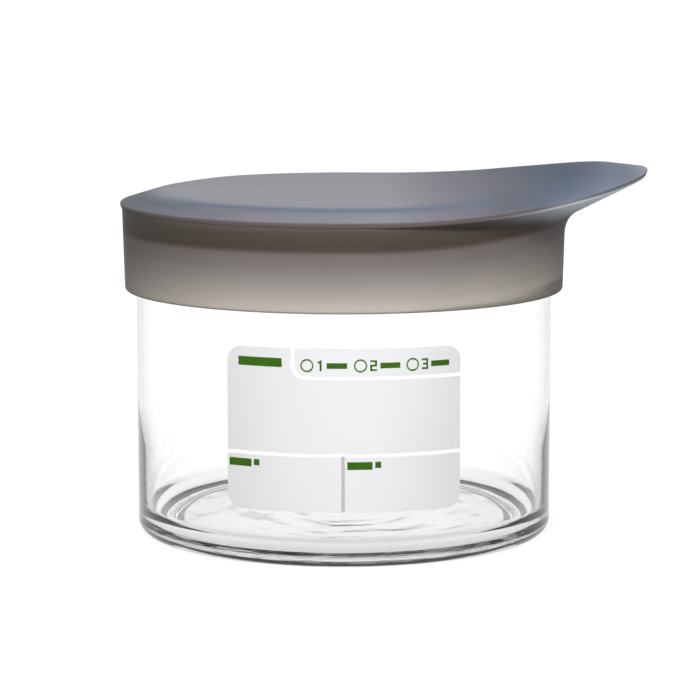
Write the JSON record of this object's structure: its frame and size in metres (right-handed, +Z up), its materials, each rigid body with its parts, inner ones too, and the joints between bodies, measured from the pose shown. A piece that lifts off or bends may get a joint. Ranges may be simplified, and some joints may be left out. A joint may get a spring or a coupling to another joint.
{
  "type": "wide-mouth jar",
  "caption": "Low clear glass jar with a pale write-on panel and a soft grey lid with an upswept pull lip on one side.",
  "frame": {"origin": "centre of the ring that the jar stands on, in the standing plane", "axes": "+Z up along the jar's axis, +X towards the lid's pull lip, -Y towards the write-on panel"},
  "size_m": [0.1015, 0.0862, 0.0712],
  "materials": {
    "clear_glass": "clear polished glass, fire-polished rim",
    "grey_soft_lid": "smooth satin soft moulding, slightly translucent",
    "pale_print": "thin pale translucent print on the glass"
  },
  "bodies": {
    "jar": {"glass_jar": "clear_glass", "write_on_panel": "pale_print"},
    "lid": {"lid": "grey_soft_lid"}
  },
  "joints": [
    {"name": "lid_lift", "type": "slide", "parent": "jar", "child": "lid", "axis": [0, 0, 1], "range_m": [0, 0.04]}
  ]
}
